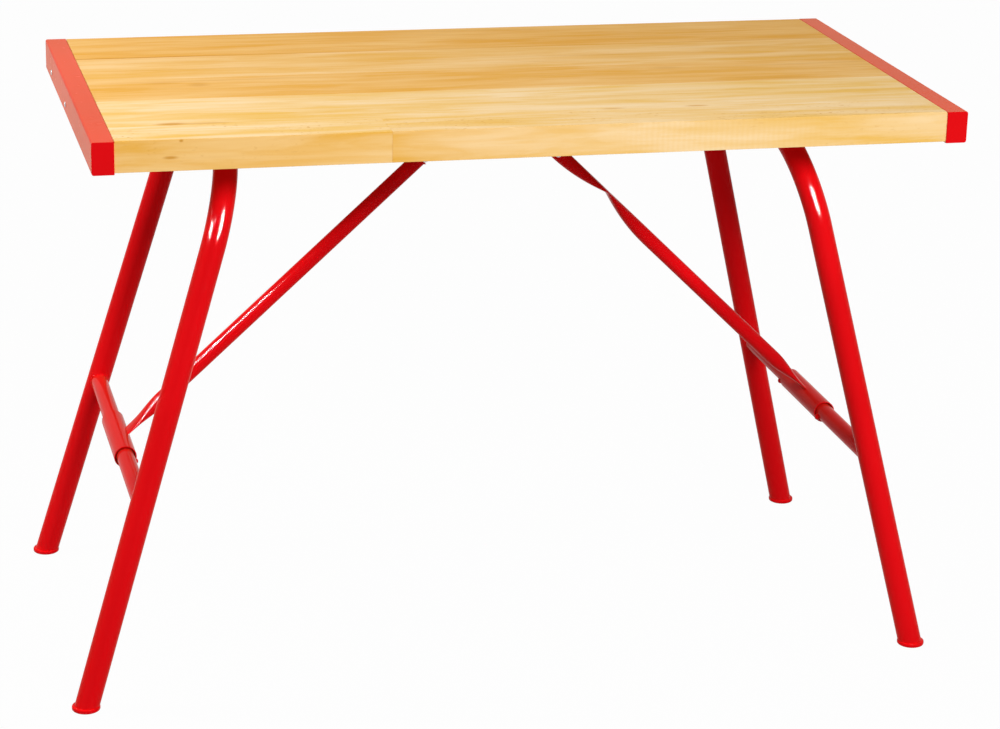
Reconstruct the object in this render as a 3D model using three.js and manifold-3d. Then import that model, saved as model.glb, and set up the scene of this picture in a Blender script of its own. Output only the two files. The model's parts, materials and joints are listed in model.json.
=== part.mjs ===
// Folding workbench: a glued board top with steel end channels, on two bent-tube leg frames that
// fold in under the top. Each frame is held open by a tube brace that turns on the frame's crossbar
// and hooks into a bracket under the top. Millimetres, +Z up, floor at z = 0.
import * as THREE from 'three';
import { mergeVertices } from 'three/addons/utils/BufferGeometryUtils.js';
import Module from 'manifold-3d';

const wasm = await Module();
wasm.setup();

// Worktop
const LENGTH = 1200;
const HEIGHT = 802;
const TOP_THICKNESS = 42;
const WOOD_DEPTH = 610;
const FRONT_BOARD_WIDTH = 73;
const SECOND_BOARD_WIDTH = 145;
const THIRD_BOARD_WIDTH = 121;
const FOURTH_BOARD_WIDTH = 133;
const FRONT_BUTT_JOINT_X = -206;

// End channels
const CHANNEL_WIDTH = 29.6;
const CHANNEL_WALL = 2;
const CHANNEL_CLEARANCE = 0.2;
const SHOULDER_GAP = 0.6;
const CHANNEL_SCREW_PITCH = 196;
const CHANNEL_SCREW_MIDDLE_Y = 22;
const CHANNEL_SCREW_DROP = 29;

// Leg frames
const LEG_DIAMETER = 33.7;
const LEG_WALL = 2.6;
const BEND_RADIUS = 130;
const BAR_GAP = 0.4;
const LEFT_PIVOT_INSET = 198;
const RIGHT_PIVOT_INSET = 211.9;
const LEFT_LEAN_DEG = 16.4;
const RIGHT_LEAN_DEG = 14.55;
const LEFT_SPLAY_DEG = 4.54;
const RIGHT_SPLAY_DEG = 3.98;
const LEFT_BAR_INSET = 78.1;
const RIGHT_BAR_INSET = 67.6;
const FOOT_RIM = 2.7;
const FOOT_HEIGHT = 6;
const FOOT_EDGE_RADIUS = 2;

// Crossbars and the sleeves that turn on them
const CROSSBAR_DIAMETER = 25;
const CROSSBAR_WALL = 2;
const LEFT_CROSSBAR_RISE = 296.6;
const RIGHT_CROSSBAR_RISE = 298;
const SLEEVE_LENGTH = 155;
const SLEEVE_WALL = 2.5;
const SLEEVE_CLEARANCE = 1;

// Braces
const BRACE_DIAMETER = 21.3;
const BRACE_WALL = 2.3;
const LEFT_BRACE_OFFSET = 0;
const RIGHT_BRACE_OFFSET = 6;
const FLAT_HALF_WIDTH = 15.5;
const FLAT_HALF_THICKNESS = 2.4;
const FLAT_TAPER = 70;
const CRIMP_THICKNESS = 4;
const CRIMP_HALF_LENGTH = 100;
const CRIMP_OPEN_SHARE = 0.8;
const DRAIN_DIAMETER = 6;

// Hooks under the top
const HOOK_X = 98;
const HOOK_DROP = 73.2;
const PIN_DIAMETER = 10;
const PIN_CLEARANCE = 0.5;
const PIN_COLLAR_DIAMETER = 11;
const PIN_COLLAR_LENGTH = 3;
const BRACKET_WALL = 4;
const BRACKET_SIDE_GAP = 1.8;
const BRACKET_BELOW_PIN = 9;
const BRACKET_BEFORE_PIN = 5.8;
const BRACKET_BEHIND_PIN = 38;
const BRACKET_NECK_BEHIND_PIN = 3;
const BRACKET_NECK_ABOVE_PIN = 30;
const BRACKET_SCREW_SHARES = [0.25, 0.75];
const NOTCH_ANGLE_DEG = 82;
const BRACE_END_BEFORE_PIN = 5.7;

// Straps that carry the pivot bars
const STRAP_WIDTH = 40;
const STRAP_THICKNESS = 3;
const STRAP_CLEARANCE = 0.5;
const STRAP_FLANGE = 26;
const STRAP_Y = 70;

// Fasteners
const COACH_SHANK_DIAMETER = 8;
const COACH_HEAD_DIAMETER = 15;
const COACH_HEAD_HEIGHT = 5.5;
const COACH_DEPTH = 32;
const DOME_SHANK_DIAMETER = 5;
const DOME_HEAD_DIAMETER = 8;
const DOME_HEAD_HEIGHT = 1.6;
const DOME_RIM_HEIGHT = 0.64;
const DOME_CROWN_DROP = 0.16;
const DOME_CROWN_INSET = 1.6;
const DOME_DEPTH = 40;
const HOLE_CLEARANCE = 0.3;

// Gap left at a welded or seated joint
const WELD_GAP = 0.3;

// Facet counts
const TUBE_SIDES = 20;
const BEND_STEPS = 8;
const ROUND_SEGMENTS = 12;
const HEX_SIDES = 6;
const FLAT_STEPS = 5;
const CRIMP_STEP_SHARES = [0.12, 0.28, 0.5, 0.75, 1];

// Vertices closer than this are one vertex
const MERGE_TOLERANCE = 1e-4;

// Heights and radii that follow from the sizes above
const undersideZ = HEIGHT - TOP_THICKNESS;
const legRadius = LEG_DIAMETER / 2;
const pivotZ = undersideZ - BAR_GAP - legRadius;
const crossbarRadius = CROSSBAR_DIAMETER / 2;
const sleeveInnerRadius = crossbarRadius + SLEEVE_CLEARANCE;
const sleeveRadius = sleeveInnerRadius + SLEEVE_WALL;
const braceRadius = BRACE_DIAMETER / 2;
const pinRadius = PIN_DIAMETER / 2;
const footRadius = legRadius + FOOT_RIM;
const bracketInnerHalf = braceRadius + BRACKET_SIDE_GAP;
const bracketOuterHalf = bracketInnerHalf + BRACKET_WALL;

// Finishes
const redPaint = new THREE.MeshStandardMaterial({ color: 0xd8101a, roughness: 0.3, metalness: 0.1 });
const beech = new THREE.MeshStandardMaterial({ color: 0xe8bc74, roughness: 0.55, metalness: 0 });
const zincSteel = new THREE.MeshStandardMaterial({ color: 0xb4b6b8, roughness: 0.35, metalness: 0.9 });

const bench = new THREE.Group();

function addMesh(name, geometry, material) {
  const mesh = new THREE.Mesh(geometry, material);
  mesh.name = name;
  bench.add(mesh);
  return mesh;
}

// Boolean helpers: a closed geometry becomes a solid, and a solid becomes a geometry again
function solidOf(geometry) {
  const bare = geometry.clone();
  bare.deleteAttribute('normal');
  bare.deleteAttribute('uv');
  const merged = mergeVertices(bare, MERGE_TOLERANCE);
  const mesh = new wasm.Mesh({
    numProp: 3,
    vertProperties: new Float32Array(merged.attributes.position.array),
    triVerts: new Uint32Array(merged.index.array),
  });
  return new wasm.Manifold(mesh);
}

function geometryOf(solid) {
  const mesh = solid.getMesh();
  const geometry = new THREE.BufferGeometry();
  geometry.setAttribute('position', new THREE.BufferAttribute(new Float32Array(mesh.vertProperties), 3));
  geometry.setIndex(new THREE.BufferAttribute(new Uint32Array(mesh.triVerts), 1));
  geometry.computeVertexNormals();
  return geometry;
}

function cut(geometry, tools) {
  const solid = tools.reduce((rest, tool) => rest.subtract(solidOf(tool)), solidOf(geometry));
  return geometryOf(solid);
}

// Basic shapes placed by their limits
function boxBetween(low, high) {
  const size = new THREE.Vector3().subVectors(high, low);
  const centre = new THREE.Vector3().addVectors(low, high).multiplyScalar(0.5);
  return new THREE.BoxGeometry(size.x, size.y, size.z).translate(centre.x, centre.y, centre.z);
}

function rodBetween(start, end, radius, sides) {
  const axis = new THREE.Vector3().subVectors(end, start);
  const middle = new THREE.Vector3().addVectors(start, end).multiplyScalar(0.5);
  const direction = axis.clone().normalize();
  const turn = new THREE.Quaternion().setFromUnitVectors(new THREE.Vector3(0, 1, 0), direction);
  const rod = new THREE.CylinderGeometry(radius, radius, axis.length(), sides);
  return rod.applyQuaternion(turn).translate(middle.x, middle.y, middle.z);
}

// A shape drawn in X and Z, extruded along Y between two depths
function extrudeInY(shape, fromY, toY) {
  const options = { depth: toY - fromY, bevelEnabled: false, curveSegments: ROUND_SEGMENTS };
  return new THREE.ExtrudeGeometry(shape, options).rotateX(Math.PI / 2).translate(0, toY, 0);
}

// A turned piece: the profile lists [radius, height] along the axis, which then points along direction
function turned(profile, sides, origin, direction) {
  const points = profile.map(([radius, height]) => new THREE.Vector2(radius, height));
  const lathe = new THREE.LatheGeometry(points, sides);
  const turn = new THREE.Quaternion().setFromUnitVectors(new THREE.Vector3(0, 1, 0), direction);
  return lathe.applyQuaternion(turn).translate(origin.x, origin.y, origin.z);
}

// A closed skin through rings of points, the same count in each ring; a second set of rings, if
// given, is the bore, and then the ends are flat annuli
function loft(outer, inner) {
  const sides = outer[0].length;
  const points = outer.flat();
  const triangles = [];
  const quad = (a, b, c, d) => triangles.push(a, b, c, a, c, d);
  const skin = (base, rings, flip) => {
    for (let ring = 0; ring < rings - 1; ring += 1) {
      for (let side = 0; side < sides; side += 1) {
        const next = (side + 1) % sides;
        const low = base + ring * sides;
        const high = low + sides;
        if (flip) {
          quad(low + side, high + side, high + next, low + next);
        } else {
          quad(low + side, low + next, high + next, high + side);
        }
      }
    }
  };
  skin(0, outer.length, false);
  const last = (outer.length - 1) * sides;
  if (inner) {
    const bore = points.length;
    points.push(...inner.flat());
    skin(bore, inner.length, true);
    const boreLast = bore + (inner.length - 1) * sides;
    for (let side = 0; side < sides; side += 1) {
      const next = (side + 1) % sides;
      quad(side, bore + side, bore + next, next);
      quad(last + side, last + next, boreLast + next, boreLast + side);
    }
  } else {
    for (let side = 1; side < sides - 1; side += 1) {
      triangles.push(0, side + 1, side);
      triangles.push(last, last + side, last + side + 1);
    }
  }
  const geometry = new THREE.BufferGeometry();
  const numbers = new Float32Array(points.flatMap((point) => [point.x, point.y, point.z]));
  geometry.setAttribute('position', new THREE.BufferAttribute(numbers, 3));
  geometry.setIndex(triangles);
  geometry.computeVertexNormals();
  return geometry;
}

// A ring of points about a centre, in the plane of two unit vectors
function ring(centre, first, second, firstRadius, secondRadius, sides) {
  return Array.from({ length: sides }, (unused, side) => {
    const angle = (2 * Math.PI * side) / sides;
    return centre.clone()
      .addScaledVector(first, firstRadius * Math.cos(angle))
      .addScaledVector(second, secondRadius * Math.sin(angle));
  });
}

const alongX = new THREE.Vector3(1, 0, 0);
const alongY = new THREE.Vector3(0, 1, 0);
const alongZ = new THREE.Vector3(0, 0, 1);

// The two sides of the bench: outward is the sign of X on that side
function sideOf(name, outward, sizes) {
  const { pivotInset, leanDeg, splayDeg, barInset, crossbarRise, braceOffset, crimped } = sizes;
  const lean = THREE.MathUtils.degToRad(leanDeg);
  const splay = THREE.MathUtils.degToRad(splayDeg);
  const slope = new THREE.Vector3(outward * Math.sin(lean), 0, -Math.cos(lean));
  const pivot = new THREE.Vector3(outward * (LENGTH / 2 - pivotInset), 0, pivotZ);
  const barHalfWidth = WOOD_DEPTH / 2 - barInset;
  const slopeLength = pivotZ / Math.cos(lean);
  const crossbarDown = slopeLength - crossbarRise;
  const crossbar = pivot.clone().addScaledVector(slope, crossbarDown);
  const hook = new THREE.Vector3(outward * HOOK_X, 0, undersideZ - HOOK_DROP);
  const reach = hook.distanceTo(crossbar);
  const steepest = Math.atan2(hook.z - crossbar.z, outward * (crossbar.x - hook.x));
  const rise = steepest - Math.asin(braceOffset / reach);
  const braceAxis = new THREE.Vector3(-outward * Math.cos(rise), 0, Math.sin(rise));
  const braceUp = new THREE.Vector3(outward * Math.sin(rise), 0, Math.cos(rise));
  const footHalfWidth = barHalfWidth + slopeLength * Math.tan(splay);
  return {
    name, outward, slope, splay, pivot, slopeLength, crossbar, crossbarDown, hook, rise, braceAxis, braceUp,
    barHalfWidth, footHalfWidth, braceOffset, crimped,
  };
}

const sides = [
  sideOf('left', -1, {
    pivotInset: LEFT_PIVOT_INSET,
    leanDeg: LEFT_LEAN_DEG,
    splayDeg: LEFT_SPLAY_DEG,
    barInset: LEFT_BAR_INSET,
    crossbarRise: LEFT_CROSSBAR_RISE,
    braceOffset: LEFT_BRACE_OFFSET,
    crimped: false,
  }),
  sideOf('right', 1, {
    pivotInset: RIGHT_PIVOT_INSET,
    leanDeg: RIGHT_LEAN_DEG,
    splayDeg: RIGHT_SPLAY_DEG,
    barInset: RIGHT_BAR_INSET,
    crossbarRise: RIGHT_CROSSBAR_RISE,
    braceOffset: RIGHT_BRACE_OFFSET,
    crimped: true,
  }),
];
const ends = [
  { name: 'front', into: -1 },
  { name: 'back', into: 1 },
];

// Fastener places, shared by the fasteners, the holes in the steel and the holes in the wood
const strapOuterRadius = legRadius + STRAP_CLEARANCE + STRAP_THICKNESS;
const strapScrewReach = strapOuterRadius + STRAP_FLANGE / 2;
const coachScrews = [];
for (const side of sides) {
  for (const end of ends) {
    [-1, 1].forEach((step, index) => {
      coachScrews.push({
        name: `strap_screw_${side.name}_${end.name}_${index + 1}`,
        x: side.pivot.x + step * strapScrewReach,
        y: end.into * STRAP_Y,
        seatZ: undersideZ - STRAP_THICKNESS,
      });
    });
  }
  const bracketWeb = BRACKET_BEHIND_PIN - BRACKET_NECK_BEHIND_PIN;
  BRACKET_SCREW_SHARES.forEach((share, index) => {
    coachScrews.push({
      name: `bracket_screw_${side.name}_${index + 1}`,
      x: side.hook.x + side.outward * (BRACKET_NECK_BEHIND_PIN + share * bracketWeb),
      y: 0,
      seatZ: undersideZ - BRACKET_WALL,
    });
  });
}
const domeScrews = [];
for (const side of sides) {
  [0, 1].forEach((step) => {
    domeScrews.push({
      name: `channel_screw_${side.name}_${step + 1}`,
      outward: side.outward,
      y: CHANNEL_SCREW_MIDDLE_Y + step * CHANNEL_SCREW_PITCH,
    });
  });
}
const domeScrewZ = HEIGHT - CHANNEL_SCREW_DROP;

function coachHole(screw, clearance) {
  const radius = COACH_SHANK_DIAMETER / 2 + clearance;
  const low = new THREE.Vector3(screw.x, screw.y, screw.seatZ - COACH_HEAD_HEIGHT);
  const high = new THREE.Vector3(screw.x, screw.y, screw.seatZ + COACH_DEPTH + clearance);
  return rodBetween(low, high, radius, ROUND_SEGMENTS);
}

function domeHole(screw, clearance) {
  const radius = DOME_SHANK_DIAMETER / 2 + clearance;
  const face = screw.outward * LENGTH / 2;
  const outside = new THREE.Vector3(face + screw.outward, screw.y, domeScrewZ);
  const inside = new THREE.Vector3(face - screw.outward * (DOME_DEPTH + clearance), screw.y, domeScrewZ);
  return rodBetween(outside, inside, radius, ROUND_SEGMENTS);
}

// Boards: each end is rebated to a tongue that sits in the end channel, flush with its upper flange
function boardShape(fromX, toX) {
  const tongueTop = HEIGHT - CHANNEL_WALL - CHANNEL_CLEARANCE;
  const shoulder = LENGTH / 2 - CHANNEL_WIDTH - SHOULDER_GAP;
  const tip = LENGTH / 2 - CHANNEL_WALL - CHANNEL_CLEARANCE;
  const low = Math.max(fromX, -tip);
  const high = Math.min(toX, tip);
  const shape = new THREE.Shape();
  shape.moveTo(low, undersideZ);
  shape.lineTo(high, undersideZ);
  if (toX >= tip) {
    shape.lineTo(tip, tongueTop);
    shape.lineTo(shoulder, tongueTop);
    shape.lineTo(shoulder, HEIGHT);
  } else {
    shape.lineTo(high, HEIGHT);
  }
  if (fromX <= -tip) {
    shape.lineTo(-shoulder, HEIGHT);
    shape.lineTo(-shoulder, tongueTop);
    shape.lineTo(-tip, tongueTop);
  } else {
    shape.lineTo(low, HEIGHT);
  }
  shape.closePath();
  return shape;
}

const boardPlan = [
  { name: 'board_front', width: FRONT_BOARD_WIDTH },
  { name: 'board_second', width: SECOND_BOARD_WIDTH },
  { name: 'board_third', width: THIRD_BOARD_WIDTH },
  { name: 'board_fourth', width: FOURTH_BOARD_WIDTH },
];
let seamY = -WOOD_DEPTH / 2;
const boards = boardPlan.map(({ name, width }) => {
  const board = { name, fromY: seamY, toY: seamY + width };
  seamY += width;
  return board;
});
boards.push({ name: 'board_back', fromY: seamY, toY: WOOD_DEPTH / 2 });

function addBoard(name, fromX, toX, fromY, toY) {
  const reachesIn = (y, radius) => y + radius > fromY && y - radius < toY;
  const onLength = (x, radius) => x + radius > fromX && x - radius < toX;
  const coachTools = coachScrews
    .filter((screw) => reachesIn(screw.y, COACH_SHANK_DIAMETER) && onLength(screw.x, COACH_SHANK_DIAMETER))
    .map((screw) => coachHole(screw, HOLE_CLEARANCE));
  const domeTools = domeScrews
    .filter((screw) => reachesIn(screw.y, DOME_SHANK_DIAMETER))
    .filter((screw) => (screw.outward < 0 ? fromX <= -LENGTH / 2 : toX >= LENGTH / 2))
    .map((screw) => domeHole(screw, HOLE_CLEARANCE));
  const blank = extrudeInY(boardShape(fromX, toX), fromY, toY);
  addMesh(name, cut(blank, [...coachTools, ...domeTools]), beech);
}

for (const board of boards) {
  if (board.name === 'board_front') {
    addBoard('board_front_left', -LENGTH / 2, FRONT_BUTT_JOINT_X, board.fromY, board.toY);
    addBoard('board_front_right', FRONT_BUTT_JOINT_X, LENGTH / 2, board.fromY, board.toY);
  } else {
    addBoard(board.name, -LENGTH / 2, LENGTH / 2, board.fromY, board.toY);
  }
}

// End channels: a folded channel with closed ends, open towards the boards
for (const side of sides) {
  const face = side.outward * LENGTH / 2;
  const mouth = face - side.outward * CHANNEL_WIDTH;
  const web = face - side.outward * CHANNEL_WALL;
  const innerHalf = WOOD_DEPTH / 2 + CHANNEL_CLEARANCE;
  const outerHalf = innerHalf + CHANNEL_WALL;
  const beyond = mouth - side.outward * CHANNEL_WIDTH;
  const body = boxBetween(
    new THREE.Vector3(Math.min(face, mouth), -outerHalf, undersideZ - CHANNEL_WALL),
    new THREE.Vector3(Math.max(face, mouth), outerHalf, HEIGHT),
  );
  const cavity = boxBetween(
    new THREE.Vector3(Math.min(web, beyond), -innerHalf, undersideZ),
    new THREE.Vector3(Math.max(web, beyond), innerHalf, HEIGHT - CHANNEL_WALL),
  );
  const holes = domeScrews
    .filter((screw) => screw.outward === side.outward)
    .map((screw) => domeHole(screw, HOLE_CLEARANCE));
  addMesh(`end_channel_${side.name}`, cut(body, [cavity, ...holes]), redPaint);
}

for (const screw of domeScrews) {
  const shank = DOME_SHANK_DIAMETER / 2;
  const head = DOME_HEAD_DIAMETER / 2;
  const profile = [
    [0, -DOME_DEPTH],
    [shank, -DOME_DEPTH],
    [shank, 0],
    [head, 0],
    [head, DOME_RIM_HEIGHT],
    [head - DOME_CROWN_INSET, DOME_HEAD_HEIGHT - DOME_CROWN_DROP],
    [0, DOME_HEAD_HEIGHT],
  ];
  const origin = new THREE.Vector3(screw.outward * LENGTH / 2, screw.y, domeScrewZ);
  const outwards = alongX.clone().multiplyScalar(screw.outward);
  addMesh(screw.name, turned(profile, ROUND_SEGMENTS, origin, outwards), zincSteel);
}

for (const screw of coachScrews) {
  const shank = COACH_SHANK_DIAMETER / 2;
  const head = COACH_HEAD_DIAMETER / 2;
  const seat = new THREE.Vector3(screw.x, screw.y, screw.seatZ);
  const bottom = new THREE.Vector3(screw.x, screw.y, screw.seatZ - COACH_HEAD_HEIGHT);
  const top = new THREE.Vector3(screw.x, screw.y, screw.seatZ + COACH_DEPTH);
  const overlap = new THREE.Vector3(screw.x, screw.y, screw.seatZ - COACH_HEAD_HEIGHT / 2);
  const hexHead = solidOf(rodBetween(bottom, seat, head, HEX_SIDES));
  const joined = hexHead.add(solidOf(rodBetween(overlap, top, shank, ROUND_SEGMENTS)));
  addMesh(screw.name, geometryOf(joined), zincSteel);
}

// Leg tube: an inverted U in its leaning plane, from one foot over the pivot bar to the other foot
function legCentreline(side) {
  const { pivot, slope, splay, barHalfWidth } = side;
  const place = (down, y) => pivot.clone().addScaledVector(slope, down).setY(y);
  const turn = Math.PI / 2 - splay;
  const tangentLength = BEND_RADIUS * Math.tan(turn / 2);
  const stations = [];
  const foot = side.slopeLength;
  const legDirection = (into) => slope.clone().multiplyScalar(-Math.cos(splay))
    .addScaledVector(alongY, -into * Math.sin(splay));
  for (const end of ends) {
    const half = [];
    half.push({ point: place(foot, end.into * side.footHalfWidth), along: legDirection(end.into) });
    for (let step = 0; step <= BEND_STEPS; step += 1) {
      const angle = splay + (turn * step) / BEND_STEPS;
      const down = BEND_RADIUS * (1 - Math.sin(angle));
      const y = barHalfWidth - tangentLength + BEND_RADIUS * Math.cos(angle);
      const along = slope.clone().multiplyScalar(-Math.cos(angle))
        .addScaledVector(alongY, -end.into * Math.sin(angle));
      half.push({ point: place(down, end.into * y), along });
    }
    if (end.into < 0) {
      stations.push(...half);
    } else {
      const reversed = half.reverse();
      stations.push(...reversed.map(({ point, along }) => ({ point, along: along.clone().negate() })));
    }
  }
  return stations;
}

// A ring slid along the tube until it lies in the level plane at a given height
function mitreLevel(points, along, height) {
  return points.map((point) => point.clone().addScaledVector(along, (height - point.z) / along.z));
}

for (const side of sides) {
  const stations = legCentreline(side);
  const across = new THREE.Vector3().crossVectors(alongY, side.slope).normalize();
  const ringsOf = (radius) => stations.map(({ point, along }, index) => {
    const inPlane = new THREE.Vector3().crossVectors(along, across).normalize();
    const points = ring(point, across, inPlane, radius, radius, TUBE_SIDES);
    const isEnd = index === 0 || index === stations.length - 1;
    return isEnd ? mitreLevel(points, along, FOOT_HEIGHT + WELD_GAP) : points;
  });
  const bent = loft(ringsOf(legRadius), ringsOf(legRadius - LEG_WALL));
  addMesh(`leg_tube_${side.name}`, bent, redPaint);

  for (const end of ends) {
    const profile = [
      [0, 0],
      [footRadius - FOOT_EDGE_RADIUS, 0],
      [footRadius, FOOT_EDGE_RADIUS],
      [footRadius, FOOT_HEIGHT - FOOT_EDGE_RADIUS],
      [footRadius - FOOT_EDGE_RADIUS / 2, FOOT_HEIGHT],
      [0, FOOT_HEIGHT],
    ];
    const ground = side.pivot.clone().addScaledVector(side.slope, side.slopeLength);
    ground.setY(end.into * side.footHalfWidth);
    addMesh(`foot_${side.name}_${end.name}`, turned(profile, TUBE_SIDES, ground, alongZ), redPaint);
  }

  // Crossbar between the legs, its ends coped to the leg tubes
  const spreadAt = (down) => side.barHalfWidth + down * Math.tan(side.splay);
  const coped = (points, into) => points.map((point) => {
    const offset = point.clone().sub(side.crossbar);
    const down = side.crossbarDown + offset.dot(side.slope);
    const sideways = offset.dot(across);
    const cope = Math.sqrt((legRadius + WELD_GAP) ** 2 - sideways ** 2) / Math.cos(side.splay);
    return point.clone().setY(into * (spreadAt(down) - cope));
  });
  const barRings = (radius) => {
    const round = ring(side.crossbar, across, side.slope, radius, radius, TUBE_SIDES);
    return [coped(round, 1), coped(round, -1)];
  };
  const crossbar = loft(barRings(crossbarRadius), barRings(crossbarRadius - CROSSBAR_WALL));
  addMesh(`crossbar_${side.name}`, crossbar, redPaint);

  // Straps that hold the pivot bar under the top
  const inner = legRadius + STRAP_CLEARANCE;
  const outer = strapOuterRadius;
  const wing = outer + STRAP_FLANGE;
  const { x } = side.pivot;
  const strapShape = new THREE.Shape();
  strapShape.moveTo(x - wing, undersideZ);
  strapShape.lineTo(x - wing, undersideZ - STRAP_THICKNESS);
  strapShape.lineTo(x - outer, undersideZ - STRAP_THICKNESS);
  strapShape.lineTo(x - outer, pivotZ);
  strapShape.absarc(x, pivotZ, outer, Math.PI, 2 * Math.PI, false);
  strapShape.lineTo(x + outer, undersideZ - STRAP_THICKNESS);
  strapShape.lineTo(x + wing, undersideZ - STRAP_THICKNESS);
  strapShape.lineTo(x + wing, undersideZ);
  strapShape.lineTo(x + inner, undersideZ);
  strapShape.lineTo(x + inner, pivotZ);
  strapShape.absarc(x, pivotZ, inner, 2 * Math.PI, Math.PI, true);
  strapShape.lineTo(x - inner, undersideZ);
  strapShape.closePath();
  for (const end of ends) {
    const middle = end.into * STRAP_Y;
    const name = `pivot_strap_${side.name}_${end.name}`;
    const blank = extrudeInY(strapShape, middle - STRAP_WIDTH / 2, middle + STRAP_WIDTH / 2);
    const holes = coachScrews
      .filter((screw) => screw.name.startsWith(`strap_screw_${side.name}_${end.name}`))
      .map((screw) => coachHole(screw, HOLE_CLEARANCE));
    addMesh(name, cut(blank, holes), zincSteel);
  }
}

// Brace: a tube flattened where it is welded to its sleeve; the right one is also crimped where it
// crosses the pivot bar when folded
function braceSection(side, along) {
  const round = { up: 0, thick: braceRadius, wide: braceRadius };
  const fromFlat = along - sleeveRadius - WELD_GAP;
  if (fromFlat < FLAT_TAPER) {
    const ease = (1 - Math.cos((Math.PI * fromFlat) / FLAT_TAPER)) / 2;
    return {
      up: 0,
      thick: THREE.MathUtils.lerp(FLAT_HALF_THICKNESS, braceRadius, ease),
      wide: THREE.MathUtils.lerp(FLAT_HALF_WIDTH, braceRadius, ease),
    };
  }
  const fromCrimp = Math.abs(along - side.crossbarDown);
  if (side.crimped && fromCrimp < CRIMP_HALF_LENGTH) {
    const open = 1 - (1 - fromCrimp / CRIMP_HALF_LENGTH) ** 2;
    const thick = THREE.MathUtils.lerp(CRIMP_THICKNESS / 2, braceRadius, open);
    const wide = THREE.MathUtils.lerp(FLAT_HALF_WIDTH, braceRadius, open);
    return { up: braceRadius - thick, thick, wide };
  }
  return round;
}

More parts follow.
